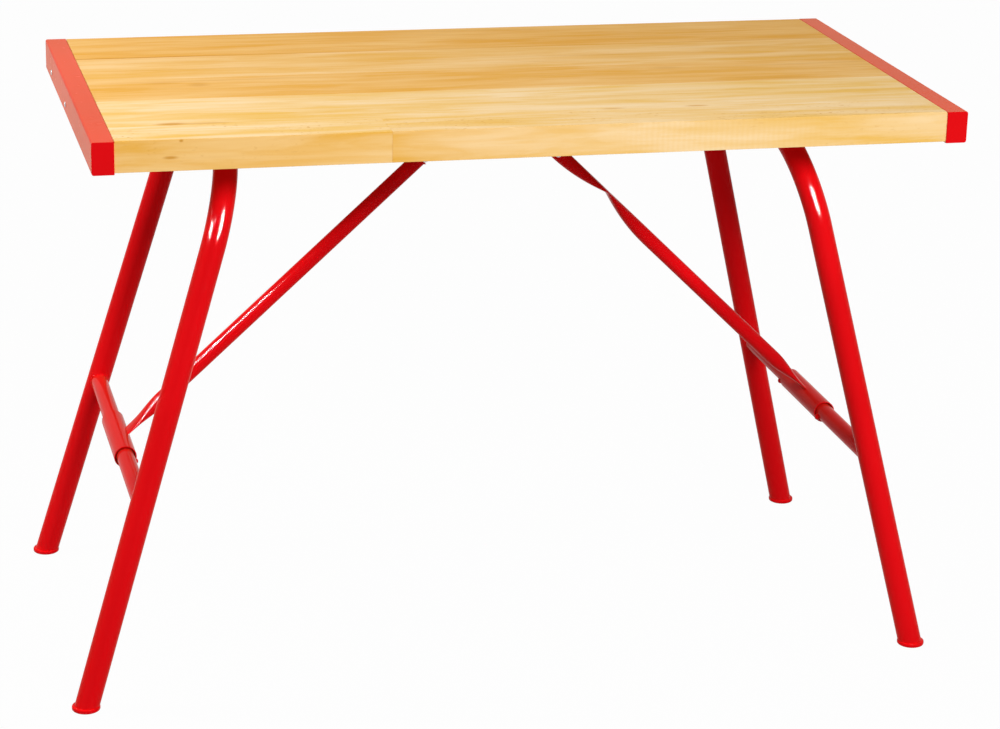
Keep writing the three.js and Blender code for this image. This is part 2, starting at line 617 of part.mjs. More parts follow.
for (const side of sides) {
  const { braceAxis, braceUp, crossbar, hook, outward } = side;
  const start = crossbar.clone().addScaledVector(braceUp, side.braceOffset);
  const onBrace = (along, up) => start.clone()
    .addScaledVector(braceAxis, along)
    .addScaledVector(braceUp, up);
  const pinAlong = hook.clone().sub(start).dot(braceAxis);
  const nearestUp = Math.max(0, side.braceOffset - FLAT_HALF_THICKNESS);
  const flatEnd = Math.sqrt(sleeveRadius ** 2 - nearestUp ** 2) + WELD_GAP;
  const crimpAt = side.crossbarDown;
  const crimpSteps = CRIMP_STEP_SHARES.map((share) => share * CRIMP_HALF_LENGTH);
  const crimpStations = [...crimpSteps.map((step) => crimpAt - step), crimpAt,
    ...crimpSteps.map((step) => crimpAt + step)];
  const flatSteps = Array.from({ length: FLAT_STEPS }, (unused, step) => {
    const share = (step + 1) / FLAT_STEPS;
    return sleeveRadius + WELD_GAP + share * FLAT_TAPER;
  });
  const stations = [flatEnd, ...flatSteps, ...(side.crimped ? crimpStations : [])]
    .sort((first, second) => first - second)
    .filter((along) => along < pinAlong - braceRadius);
  const rings = stations.map((along) => {
    const { up, thick, wide } = braceSection(side, along);
    return ring(onBrace(along, up), braceUp, alongY, thick, wide, TUBE_SIDES);
  });
  const upright = outward * (hook.x * outward - BRACE_END_BEFORE_PIN);
  const endRing = ring(onBrace(pinAlong, 0), braceUp, alongY, braceRadius, braceRadius, TUBE_SIDES)
    .map((point) => point.clone().addScaledVector(braceAxis, (upright - point.x) / braceAxis.x));
  const skin = loft([...rings, endRing].map((points) => (outward > 0 ? points : points.slice().reverse())));

  const boreRadius = braceRadius - BRACE_WALL;
  const taperEnd = sleeveRadius + WELD_GAP + FLAT_TAPER;
  const pastEnd = pinAlong + 2 * BRACE_DIAMETER;
  const bore = (from, to) => rodBetween(onBrace(from, 0), onBrace(to, 0), boreRadius, TUBE_SIDES);
  const tools = [];
  if (side.crimped) {
    tools.push(bore(taperEnd, crimpAt - CRIMP_HALF_LENGTH));
    tools.push(bore(crimpAt + CRIMP_HALF_LENGTH * CRIMP_OPEN_SHARE, pastEnd));
    const drain = taperEnd + DRAIN_DIAMETER;
    const drainBelow = onBrace(drain, -BRACE_DIAMETER);
    tools.push(rodBetween(onBrace(drain, 0), drainBelow, DRAIN_DIAMETER / 2, ROUND_SEGMENTS));
  } else {
    tools.push(bore(taperEnd, pastEnd));
  }
  const pinHoleBack = new THREE.Vector3(hook.x, BRACE_DIAMETER, hook.z);
  const pinHoleFront = pinHoleBack.clone().setY(-BRACE_DIAMETER);
  tools.push(rodBetween(pinHoleBack, pinHoleFront, pinRadius + HOLE_CLEARANCE, ROUND_SEGMENTS));
  addMesh(`brace_${side.name}`, cut(skin, tools), redPaint);

  const sleeveRings = (radius) => [-1, 1].map((into) => {
    const centre = crossbar.clone().setY((into * SLEEVE_LENGTH) / 2);
    return ring(centre, alongZ, alongX, radius, radius, TUBE_SIDES);
  });
  const sleeve = loft(sleeveRings(sleeveRadius), sleeveRings(sleeveInnerRadius));
  addMesh(`brace_sleeve_${side.name}`, sleeve, redPaint);

  // Hook pin through the brace's end, with a collar outside each bracket plate
  const collarFrom = bracketOuterHalf + HOLE_CLEARANCE;
  const collarTo = collarFrom + PIN_COLLAR_LENGTH;
  const collar = PIN_COLLAR_DIAMETER / 2;
  const pinProfile = [
    [0, -collarTo],
    [collar, -collarTo],
    [collar, -collarFrom],
    [pinRadius, -collarFrom],
    [pinRadius, collarFrom],
    [collar, collarFrom],
    [collar, collarTo],
    [0, collarTo],
  ];
  addMesh(`hook_pin_${side.name}`, turned(pinProfile, ROUND_SEGMENTS, hook, alongY), zincSteel);

  // Hook bracket: two plates under a web, notched at the lower corner for the pin and cut back
  // above it, so that the folded frames pass by
  const plate = new THREE.Shape();
  const corner = (behind, above) => [hook.x + outward * behind, hook.z + above];
  plate.moveTo(...corner(-BRACKET_BEFORE_PIN, -BRACKET_BELOW_PIN));
  plate.lineTo(...corner(BRACKET_BELOW_PIN, -BRACKET_BELOW_PIN));
  plate.lineTo(...corner(BRACKET_BEHIND_PIN, BRACKET_NECK_ABOVE_PIN / 2));
  plate.lineTo(...corner(BRACKET_BEHIND_PIN, HOOK_DROP));
  plate.lineTo(...corner(BRACKET_NECK_BEHIND_PIN, HOOK_DROP));
  plate.lineTo(...corner(BRACKET_NECK_BEHIND_PIN, BRACKET_NECK_ABOVE_PIN));
  plate.lineTo(...corner(-BRACKET_BEFORE_PIN, BRACKET_BELOW_PIN));
  plate.closePath();
  const body = extrudeInY(plate, -bracketOuterHalf, bracketOuterHalf);
  const nearX = hook.x - outward * 2 * BRACKET_BEFORE_PIN;
  const farX = hook.x + outward * 2 * BRACKET_BEHIND_PIN;
  const inside = boxBetween(
    new THREE.Vector3(Math.min(nearX, farX), -bracketInnerHalf, hook.z - 2 * BRACKET_BELOW_PIN),
    new THREE.Vector3(Math.max(nearX, farX), bracketInnerHalf, undersideZ - BRACKET_WALL),
  );
  const release = side.rise - THREE.MathUtils.degToRad(NOTCH_ANGLE_DEG);
  const opening = Math.atan2(Math.sin(release), -outward * Math.cos(release));
  const notchRadius = pinRadius + PIN_CLEARANCE;
  const notchLength = 2 * (BRACKET_BEFORE_PIN + BRACKET_BELOW_PIN);
  const notch = new THREE.Shape();
  notch.absarc(hook.x, hook.z, notchRadius, opening + Math.PI / 2, opening + (3 * Math.PI) / 2, false);
  const runX = notchLength * Math.cos(opening);
  const runZ = notchLength * Math.sin(opening);
  const sideX = notchRadius * Math.cos(opening - Math.PI / 2);
  const sideZ = notchRadius * Math.sin(opening - Math.PI / 2);
  notch.lineTo(hook.x + sideX + runX, hook.z + sideZ + runZ);
  notch.lineTo(hook.x - sideX + runX, hook.z - sideZ + runZ);
  notch.closePath();
  const notchTool = extrudeInY(notch, -2 * bracketOuterHalf, 2 * bracketOuterHalf);
  const holes = coachScrews
    .filter((screw) => screw.name.startsWith(`bracket_screw_${side.name}`))
    .map((screw) => coachHole(screw, HOLE_CLEARANCE));
  addMesh(`hook_bracket_${side.name}`, cut(body, [inside, notchTool, ...holes]), redPaint);
}

// The origin is on the floor, midway between the outermost points at the two ends
const reachOf = (side) => {
  const foot = side.outward * (side.pivot.x + side.slope.x * side.slopeLength) + footRadius;
  return Math.max(foot, LENGTH / 2 + DOME_HEAD_HEIGHT);
};
bench.position.x = (reachOf(sides[0]) - reachOf(sides[1])) / 2;

const workbench = new THREE.Group();
workbench.add(bench);

export default workbench;
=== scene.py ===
# %% [markdown]
# # Dressing a folding workbench
#
# The bench comes in as a set of exact solids from the CAD step: boards, channels, tubes, hooks and
# screws, each on the body that it moves with. This lesson gives them their looks. The solids are the
# frame: nothing is moved, and a piece that needs a finer shape is modelled again in its place.

# %% Load the frame and keep its box
import json
import math

import bmesh
import bpy
from mathutils import Matrix, Vector


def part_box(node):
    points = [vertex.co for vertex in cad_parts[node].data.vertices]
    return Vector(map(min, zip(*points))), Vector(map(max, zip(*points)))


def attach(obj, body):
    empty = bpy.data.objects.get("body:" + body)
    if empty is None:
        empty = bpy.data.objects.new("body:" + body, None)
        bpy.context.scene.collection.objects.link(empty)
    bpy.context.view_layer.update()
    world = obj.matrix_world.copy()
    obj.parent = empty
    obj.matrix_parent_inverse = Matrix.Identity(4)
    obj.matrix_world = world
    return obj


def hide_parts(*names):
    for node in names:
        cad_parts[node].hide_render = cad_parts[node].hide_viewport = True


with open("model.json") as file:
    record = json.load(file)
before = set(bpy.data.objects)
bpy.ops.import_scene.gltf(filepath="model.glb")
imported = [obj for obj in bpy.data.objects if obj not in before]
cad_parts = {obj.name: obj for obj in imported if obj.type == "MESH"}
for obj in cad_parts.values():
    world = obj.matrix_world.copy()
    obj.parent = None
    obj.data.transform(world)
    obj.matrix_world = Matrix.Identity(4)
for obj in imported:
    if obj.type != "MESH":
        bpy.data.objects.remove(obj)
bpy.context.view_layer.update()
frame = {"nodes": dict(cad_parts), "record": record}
joints = {joint["name"]: joint for joint in frame["record"]["behaviour"]["joints"]}

MM = 0.001
ACROSS = Vector((0, 1, 0))
QUARTER_TURN = math.pi / 2

# %% [markdown]
# ## Measuring the frame
#
# Each leg frame leans and splays by its own amount. The hinge of the leg is the pivot bar's middle,
# and the hinge of the brace is the crossbar's middle, so the lean is the line between them. Reading
# these from the record keeps the new pieces exactly where the solids are.

# %% The two sides of the bench
LEG_RADIUS = 16.85 * MM
BEND_RADIUS = 130 * MM
FOOT_HEIGHT = 6 * MM
CROSSBAR_RADIUS = 12.5 * MM
SLEEVE_RADIUS = 16 * MM
BRACE_RADIUS = 10.65 * MM


class Side:
    """Where one leg frame and its brace are, read from the record and the solids."""

    def __init__(self, name, outward, splay_degrees, brace_offset, crimped):
        self.name = name
        self.outward = outward
        self.splay = math.radians(splay_degrees)
        self.crimped = crimped
        self.brace_offset = brace_offset
        self.pivot = Vector(joints[f"{name}_leg_fold"]["pos_m"])
        self.crossbar = Vector(joints[f"{name}_brace_swing"]["pos_m"])
        self.crossbar_down = (self.crossbar - self.pivot).length
        self.slope = (self.crossbar - self.pivot).normalized()
        self.slope_length = self.pivot.z / -self.slope.z
        low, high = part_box(f"foot_{name}_back")
        foot_y = (low[1] + high[1]) / 2
        self.half_width = foot_y - self.slope_length * math.tan(self.splay)
        self.leg_y_at_crossbar = self.half_width + self.crossbar_down * math.tan(self.splay)
        low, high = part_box(f"hook_pin_{name}")
        self.hook = (Vector(low) + Vector(high)) / 2


SIDES = [
    Side("left", outward=-1, splay_degrees=4.54, brace_offset=0.0, crimped=False),
    Side("right", outward=1, splay_degrees=3.98, brace_offset=6 * MM, crimped=True),
]
ENDS = {"front": -1, "back": 1}
for side in SIDES:
    lean = math.degrees(math.acos(-side.slope.z))
    print(f"{side.name}: lean {lean:.2f} degrees, bar half width {side.half_width / MM:.1f} mm")

# %% [markdown]
# ## The camera
#
# The photograph was taken from the front, a little to the left and above, with a long lens. The
# place, the turn and the lens were solved from the bench's own edges, so the camera is set by
# numbers: an azimuth, an elevation, a small roll and a focal length in pixels of a 1000 pixel frame.

# %% Where the camera looks
VIEW_AZIMUTH = math.radians(14.251)
VIEW_DOWN = math.radians(18.747)
VIEW_ROLL = math.radians(1.502)
EYE_FROM_TOP_MIDDLE = Vector((-0.9729, -3.9258, 1.7394))

left_low, left_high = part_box("end_channel_left")
right_low, right_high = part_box("end_channel_right")
top_middle_x = (left_low[0] + right_high[0]) / 2
eye = EYE_FROM_TOP_MIDDLE + Vector((top_middle_x, 0, 0))
look = Vector((
    math.sin(VIEW_AZIMUTH) * math.cos(VIEW_DOWN),
    math.cos(VIEW_AZIMUTH) * math.cos(VIEW_DOWN),
    -math.sin(VIEW_DOWN),
))
level_right = Vector((math.cos(VIEW_AZIMUTH), -math.sin(VIEW_AZIMUTH), 0))
level_up = level_right.cross(look)
cam_right = level_right * math.cos(VIEW_ROLL) + level_up * math.sin(VIEW_ROLL)
cam_up = level_up * math.cos(VIEW_ROLL) - level_right * math.sin(VIEW_ROLL)
print(f"the top's middle is at x {top_middle_x / MM:.1f} mm")

# %% Camera at the photograph's angle
FOCAL_PIXELS = 2906.6
FRAME_PIXELS = 1000
SENSOR_MM = 36.0
FAR_CLIP = 50
camera_data = bpy.data.cameras.new("photo_camera")
camera_data.sensor_fit = "HORIZONTAL"
camera_data.sensor_width = SENSOR_MM
camera_data.lens = FOCAL_PIXELS * SENSOR_MM / FRAME_PIXELS
camera_data.clip_end = FAR_CLIP
camera = bpy.data.objects.new("photo_camera", camera_data)
bpy.context.collection.objects.link(camera)
turned = Matrix((cam_right, cam_up, -look)).transposed().to_4x4()
camera.matrix_world = Matrix.Translation(eye) @ turned
bpy.context.scene.camera = camera
print(f"lens {camera_data.lens:.1f} mm")

# %% [markdown]
# ## Shader maths in Python
#
# A material is a net of nodes. Writing the net as Python expressions is easier to read: a small class
# wraps an output socket, and adding or multiplying two of them adds a Math node. One method makes
# every other kind of node from its type, its settings and what goes into its sockets.


# %% A socket that understands Python operators
class Value:
    """An output socket of a material, with arithmetic that adds Math nodes."""

    def __init__(self, finish, socket):
        self.finish = finish
        self.socket = socket

    def math(self, operation, first, second):
        return self.finish.make("ShaderNodeMath", {"operation": operation}, {0: first, 1: second})

    def __add__(self, other):
        return self.math("ADD", self, other)

    __radd__ = __add__

    def __sub__(self, other):
        return self.math("SUBTRACT", self, other)

    def __rsub__(self, other):
        return self.math("SUBTRACT", other, self)

    def __mul__(self, other):
        return self.math("MULTIPLY", self, other)

    __rmul__ = __mul__


# %% A finish under construction
MIX_FACTOR, MIX_FIRST, MIX_SECOND = 0, 6, 7
MIX_COLOUR_OUT = 2


class Finish:
    """A material or a world under construction: its main shader and the nodes that feed it."""

    def __init__(self, owner, shader="Principled BSDF"):
        owner.use_nodes = True
        self.material = owner
        self.nodes = owner.node_tree.nodes
        self.links = owner.node_tree.links
        self.shader = self.nodes[shader]
        self.place = self.make("ShaderNodeTexCoord", {}, {}, output="Object")

    def make(self, kind, settings, inputs, output=0):
        node = self.nodes.new(kind)
        for key, setting in settings.items():
            setattr(node, key, setting)
        for key, given in inputs.items():
            self.feed(node.inputs[key], given)
        return Value(self, node.outputs[output])

    def feed(self, socket, given):
        if isinstance(given, Value):
            self.links.new(given.socket, socket)
        else:
            socket.default_value = given

    def set(self, **sockets):
        for key, given in sockets.items():
            self.feed(self.shader.inputs[key.replace("_", " ")], given)

    def show(self, shader):
        self.links.new(shader.socket, self.nodes["Material Output"].inputs["Surface"])

    def axis(self, letter):
        return self.make("ShaderNodeSeparateXYZ", {}, {0: self.place}, output=letter)

    def stretched(self, scale, shift=(0, 0, 0)):
        inputs = {"Vector": self.place, "Scale": scale, "Location": shift}
        return self.make("ShaderNodeMapping", {"vector_type": "POINT"}, inputs)

    def noise(self, vector, scale, detail=2.0, roughness=0.5, distortion=0.0):
        inputs = {"Vector": vector, "Scale": scale, "Detail": detail, "Roughness": roughness,
                  "Distortion": distortion}
        return self.make("ShaderNodeTexNoise", {"noise_dimensions": "3D"}, inputs)

    def between(self, value, low, high, to_low=0.0, to_high=1.0):
        inputs = {"Value": value, "From Min": low, "From Max": high, "To Min": to_low, "To Max": to_high}
        settings = {"clamp": True, "interpolation_type": "SMOOTHSTEP"}
        return self.make("ShaderNodeMapRange", settings, inputs)

    def blend(self, factor, first, second, mode="MIX"):
        settings = {"data_type": "RGBA", "blend_type": mode}
        inputs = {MIX_FACTOR: factor, MIX_FIRST: first, MIX_SECOND: second}
        return self.make("ShaderNodeMix", settings, inputs, output=MIX_COLOUR_OUT)

    def bump(self, height, strength, distance):
        inputs = {"Height": height, "Strength": strength, "Distance": distance}
        return self.make("ShaderNodeBump", {}, inputs)


# %% [markdown]
# ## Red enamel
#
# The steel is sprayed with a thick red gloss. Up close such paint has a faint orange peel, its gloss
# is not quite even, and the colour drifts a little where it was sprayed thinner. A clear coat in the
# shader would be one way, but it would mirror the pale floor and turn the red pink, so the paint keeps
# a low specular level and a smooth surface: only bright lights show in it. At a low angle the enamel
# blooms to a warm orange, which a tinted sheen gives. The sheet metal of the end channels has the same
# red with a duller, satin surface and more of that bloom.

# %% Enamel
DEEP_RED = (0.80, 0.0030, 0.0060)
BRIGHT_RED = (0.87, 0.0036, 0.0072)
DRIFT_SCALE = 5.0
DUST_SCALE = 60.0
PEEL_SCALE = 45.0
PEEL_STRENGTH = 0.008
PEEL_HEIGHT = 0.5 * MM
PAINT_IOR = 1.5
BLOOM_TINT = (1.0, 0.62, 0.20, 1)
BLOOM_SPREAD = 0.4


def thinned(red, strength):
    return (red[0] * strength, red[1], red[2], 1)


def enamel(name, strength, smoothest, dullest, level, bloom):
    finish = Finish(bpy.data.materials.new(name))
    drift = finish.between(finish.noise(finish.place, DRIFT_SCALE), 0.35, 0.65)
    colour = finish.blend(drift, thinned(DEEP_RED, strength), thinned(BRIGHT_RED, strength))
    dust = finish.noise(finish.place, DUST_SCALE, detail=3.0, roughness=0.6)
    gloss = finish.between(dust, 0.35, 0.75, smoothest, dullest)
    peel = finish.noise(finish.place, PEEL_SCALE, detail=1.0)
    finish.set(Base_Color=colour, Roughness=gloss, Normal=finish.bump(peel, PEEL_STRENGTH, PEEL_HEIGHT))
    finish.set(IOR=PAINT_IOR, Specular_IOR_Level=level)
    finish.set(Sheen_Weight=bloom, Sheen_Roughness=BLOOM_SPREAD, Sheen_Tint=BLOOM_TINT)
    return finish.material


RED = enamel("red_gloss", strength=1.0, smoothest=0.09, dullest=0.15, level=0.020, bloom=0.14)
RED_SHEET = enamel("red_satin", strength=0.92, smoothest=0.22, dullest=0.28, level=0.014, bloom=0.46)
print("made", RED.name, "for the tubes and", RED_SHEET.name, "for the sheet metal")

# %% [markdown]
# ## Zinc plate
#
# The screws, pins and straps are plated steel: metallic, grey with a slight drift, and dulled where
# the plating has gone cloudy. A brushed bump breaks the reflections up.

# %% Zinc
DARK_ZINC = (0.46, 0.46, 0.47, 1)
PALE_ZINC = (0.68, 0.68, 0.66, 1)
CLOUDY_SCALE = 140.0
BRUSH_SCALE = (900, 900, 200)
BRUSH_STRENGTH = 0.08
BRUSH_HEIGHT = 0.3 * MM


def zinc():
    finish = Finish(bpy.data.materials.new("zinc_plate"))
    cloud = finish.noise(finish.place, CLOUDY_SCALE, detail=3.0, roughness=0.6)
    colour = finish.blend(finish.between(cloud, 0.3, 0.7), DARK_ZINC, PALE_ZINC)
    brushed = finish.noise(finish.stretched(BRUSH_SCALE), 1.0)
    finish.set(Base_Color=colour, Roughness=finish.between(cloud, 0.3, 0.7, 0.28, 0.46))
    finish.set(Metallic=1.0, Normal=finish.bump(brushed, BRUSH_STRENGTH, BRUSH_HEIGHT))
    return finish.material


ZINC = zinc()
print("made", ZINC.name)

# %% [markdown]
# ## Sanded boards
#
# The top is glued up from pale beech boards, sanded and oiled. The grain runs along the bench, and each
# board has its own tone: some are nearly white sapwood, some golden. A picture of wood would be one
# way; here noises that are squeezed across the board do it, so they draw out into streaks: broad
# clouds, streaks a finger wide, and fine lines.

# %% Wood colours
SAPWOOD = (0.96, 0.66, 0.275)
GOLDEN = (0.89, 0.505, 0.136)
LIGHT_TONE = (1.06, 1.18, 1.70)
WARM_TONE = (0.94, 0.82, 0.38)
BROWN = (0.66, 0.29, 0.036, 1)


def board_tones(gold):
    """The light and the warm tone of a board, from sapwood at 0 to golden heartwood at 1."""
    base = [sap + (golden - sap) * gold for sap, golden in zip(SAPWOOD, GOLDEN)]
    light = tuple(part * tone for part, tone in zip(base, LIGHT_TONE))
    warm = tuple(part * tone for part, tone in zip(base, WARM_TONE))
    return (*light, 1), (*warm, 1)


# %% Streaks along the grain
CLOUD_SHARE = 0.42
STREAK_SHARE = 0.44
LINE_SHARE = 0.14


def streaks(finish, shift, along, across, **settings):
    """A noise drawn out along the grain, from a place of its own for each board."""
    return finish.noise(finish.stretched((along, across, across), shift), 1.0, **settings)


def ground_colour(finish, shift, grain, light, warm):
    clouds = streaks(finish, shift, along=2.6, across=19.0, distortion=0.5)
    lines = streaks(finish, shift, along=7.0, across=170.0)
    soft = finish.between(clouds, 0.32, 0.68) * CLOUD_SHARE
    streak = finish.between(grain, 0.37, 0.63) * STREAK_SHARE
    fine = finish.between(lines, 0.36, 0.64) * LINE_SHARE
    return finish.blend(soft + streak + fine, light, warm)


print("a board's ground is", CLOUD_SHARE, "cloud,", STREAK_SHARE, "streak and", LINE_SHARE, "line")

# %% [markdown]
# ## What grows in the wood
#
# Brown veins follow the grain. Short flecks stand in patches, mostly on the upper face, because there
# the board was sawn through the rays. A pin knot or a stain is a single place: the distance from its
# middle, squeezed to its length and width and made ragged by the grain, gives its outline.

# %% Veins, flecks and knots
FLECKS_LOST_IN_FRONT = 0.8
RAGGED = 0.8


def veined(finish, colour, shift, amount):
    dark = streaks(finish, shift, along=3.4, across=70.0, detail=3.0, distortion=0.7)
    return finish.blend(finish.between(dark, 0.58, 0.76) * amount, colour, BROWN)


def flecked(finish, colour, shift, facing, amount):
    dashes = streaks(finish, shift, along=130.0, across=420.0, detail=0.0)
    patches = streaks(finish, shift, along=9.0, across=30.0, detail=1.0)
    fleck = finish.between(dashes, 0.70, 0.80) * finish.between(patches, 0.44, 0.60)
    return finish.blend(fleck * (1 - facing * FLECKS_LOST_IN_FRONT) * amount, colour, BROWN)


def marked(finish, colour, grain, spot, size, strength):
    aside = finish.make("ShaderNodeVectorMath", {"operation": "SUBTRACT"}, {0: finish.place, 1: spot})
    squeezed = finish.make("ShaderNodeVectorMath", {"operation": "DIVIDE"}, {0: aside, 1: size})
    far = finish.make("ShaderNodeVectorMath", {"operation": "LENGTH"}, {0: squeezed}, output="Value")
    ragged = far + (grain - 0.5) * RAGGED
    return finish.blend(finish.between(ragged, 1.0, 0.2) * strength, colour, BROWN)


# %% [markdown]
# ## What the workshop left
#
# The front edge has gone golden towards the left. A planer left faint waves across one stretch of it.
# The seam in front of the last board shows as a dark glue line, broken in places and strongest on the
# left. Each is a mask by place, in metres along the bench or across it.

# %% Golden edge, planer waves and glue line
EDGE_TINT = (0.98, 0.84, 0.58, 1)
GOLDEN_FROM, GOLDEN_TO = 0.30, -0.45
LEAST_GOLDEN = 0.1
PLANER_WAVES = 42.0
PLANER_FADE = 0.10
PLANER_DEPTH = 0.12
GLUE_FROM, GLUE_TO = -0.10, -0.45
LEAST_GLUE = 0.25
GLUE_EDGE, GLUE_CORE = 6.0 * MM, 2.5 * MM


def golden_edge(finish, colour, along, facing, amount):
    golden_end = finish.between(along, GOLDEN_FROM, GOLDEN_TO, LEAST_GOLDEN, 1.0)
    return finish.blend(facing * golden_end * amount, colour, EDGE_TINT, mode="MULTIPLY")


def planer_waves(finish, colour, along, facing, reach, tone):
    settings = {"wave_type": "BANDS", "bands_direction": "X"}
    inputs = {"Vector": finish.place, "Scale": PLANER_WAVES, "Distortion": 2.2, "Detail": 2.0}
    waves = finish.make("ShaderNodeTexWave", settings, inputs, output="Fac")
    first, last = reach
    begins = finish.between(along, first, first + PLANER_FADE)
    there = begins * finish.between(along, last, last - PLANER_FADE)
    return finish.blend(waves * there * facing * PLANER_DEPTH, colour, tone)


def glue_line(finish, colour, shift, along, depth, seam_y):
    near = finish.make("ShaderNodeMath", {"operation": "ABSOLUTE"}, {0: depth - seam_y})
    broken = streaks(finish, shift, along=4.0, across=0.0)
    strength = finish.between(along, GLUE_FROM, GLUE_TO, LEAST_GLUE, 1.0)
    shown = strength * finish.between(broken, 0.30, 0.52)
    return finish.blend(finish.between(near, GLUE_EDGE, GLUE_CORE) * shown, colour, BROWN)


# %% Board wood
TOP_Z = left_high[2]
FRONT_FACE_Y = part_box("board_front_left")[0][1]
BACK_SEAM_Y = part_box("board_back")[0][1]
FRONT_FADE_FROM, FRONT_FADE_TO = 2.0 * MM, 0.4 * MM
FIBRE_STRENGTH = 0.02
FIBRE_HEIGHT = 0.3 * MM
OIL_IOR = 1.45
OIL_LEVEL = 0.02


def board_wood(name, gold, shift, veins, flecks=0.0, face=0.0, planed=None, marks=(), seam_at=None):
    finish = Finish(bpy.data.materials.new(f"wood_{name}"))
    light, warm = board_tones(gold)
    grain = streaks(finish, shift, along=4.6, across=46.0, detail=4.0, roughness=0.62, distortion=0.45)
    fibres = streaks(finish, shift, along=30.0, across=1300.0, roughness=0.6)
    along = finish.axis("X")
    depth = finish.axis("Y")
    facing = finish.between(depth, FRONT_FACE_Y + FRONT_FADE_FROM, FRONT_FACE_Y + FRONT_FADE_TO)
    colour = ground_colour(finish, shift, grain, light, warm)
    if face:
        colour = golden_edge(finish, colour, along, facing, face)
    colour = veined(finish, colour, shift, veins)
    if flecks:
        colour = flecked(finish, colour, shift, facing, flecks)
    if planed:
        colour = planer_waves(finish, colour, along, facing, planed, warm)
    if seam_at is not None:
        colour = glue_line(finish, colour, shift, along, depth, seam_at)
    for spot, size, strength in marks:
        colour = marked(finish, colour, grain, spot, size, strength)
    finish.set(Base_Color=colour, Roughness=finish.between(fibres, 0.3, 0.7, 0.40, 0.56))
    finish.set(Normal=finish.bump(fibres, FIBRE_STRENGTH, FIBRE_HEIGHT))
    finish.set(IOR=OIL_IOR, Specular_IOR_Level=OIL_LEVEL)
    return finish.material


print(f"the front face is at y {FRONT_FACE_Y / MM:.1f} mm, the back seam at {BACK_SEAM_Y / MM:.1f} mm")

# %% [markdown]
# ## Hand tools for modelling
#
# The pieces below are modelled as by hand: a primitive, then edit-mode operators. These helpers do
# what a hand does between the operators: clear the selection, pick faces or edges by their place,
# and put the finished piece on its body with its material. Weighted normals keep the large faces
# flat to the light, so that only the eased edges round off.


# %% Selection helpers
def clear_selection():
    if bpy.context.mode != "OBJECT":
        bpy.ops.object.mode_set(mode="OBJECT")
    bpy.ops.object.select_all(action="DESELECT")


def start_edit(name):
    piece = bpy.context.object
    piece.name = name
    piece.data.name = name
    bpy.ops.object.transform_apply(location=True, rotation=True, scale=True)
    bpy.ops.object.mode_set(mode="EDIT")
    return piece


def pick(kind, wanted):
    """Selects the faces or edges of the piece in edit mode for which wanted(element) is true."""
    mesh = bpy.context.object.data
    bpy.ops.mesh.select_mode(type=kind)
    bpy.ops.mesh.select_all(action="DESELECT")
    work = bmesh.from_edit_mesh(mesh)
    elements = work.faces if kind == "FACE" else work.edges
    count = 0
    for element in elements:
        if wanted(element):
            element.select_set(True)
            count += 1
    work.select_flush_mode()
    bmesh.update_edit_mesh(mesh)
    return count


# %% Finishing helpers
FACING_SHARE = 0.9
SHARP_ANGLE = math.radians(32)
SMOOTH_DEGREES = 35
MERGE_DISTANCE = 0.01 * MM


def draw_out(way):
    bpy.ops.mesh.extrude_region_move(TRANSFORM_OT_translate={"value": way})


def outwards():
    bpy.ops.mesh.select_all(action="SELECT")
    bpy.ops.mesh.remove_doubles(threshold=MERGE_DISTANCE)
    bpy.ops.mesh.normals_make_consistent(inside=False)


def modifier(piece, kind, **settings):
    made = piece.modifiers.new(kind.lower(), kind)
    for key, setting in settings.items():
        setattr(made, key, setting)
    bpy.ops.object.modifier_apply(modifier=made.name)


def soften(piece, width):
    modifier(piece, "BEVEL", width=width, segments=2, limit_method="ANGLE", angle_limit=SHARP_ANGLE)


def finish_piece(piece, body, slot, material, *nodes, smooth_degrees=SMOOTH_DEGREES):
    if bpy.context.mode != "OBJECT":
        bpy.ops.object.mode_set(mode="OBJECT")
    bpy.ops.object.shade_smooth_by_angle(angle=math.radians(smooth_degrees))
    modifier(piece, "WEIGHTED_NORMAL", keep_sharp=True)
    piece.data.materials.clear()
    piece.data.materials.append(material)
    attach(piece, body)
    if nodes:
        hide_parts(*nodes)
    print(f"{piece.name}: {len(piece.data.polygons)} faces")


# %% [markdown]
# ## The boards
#
# A board is a box with a tongue at each end that slips into the steel channel. The box is cut level at
# the tongue's height, and the lower part of the end face is drawn out. The long edges are eased with a
# small bevel, which is what makes a glued seam show as a fine line.

# %% Each board's own wood
def mark(x, y, below, length, width, strength):
    """A dark mark on a board: millimetres from the top's middle, and how far below the surface."""
    spot = (x * MM + top_middle_x, y * MM, TOP_Z - below * MM)
    return spot, (length * MM / 2, width * MM / 2, width * MM / 2), strength


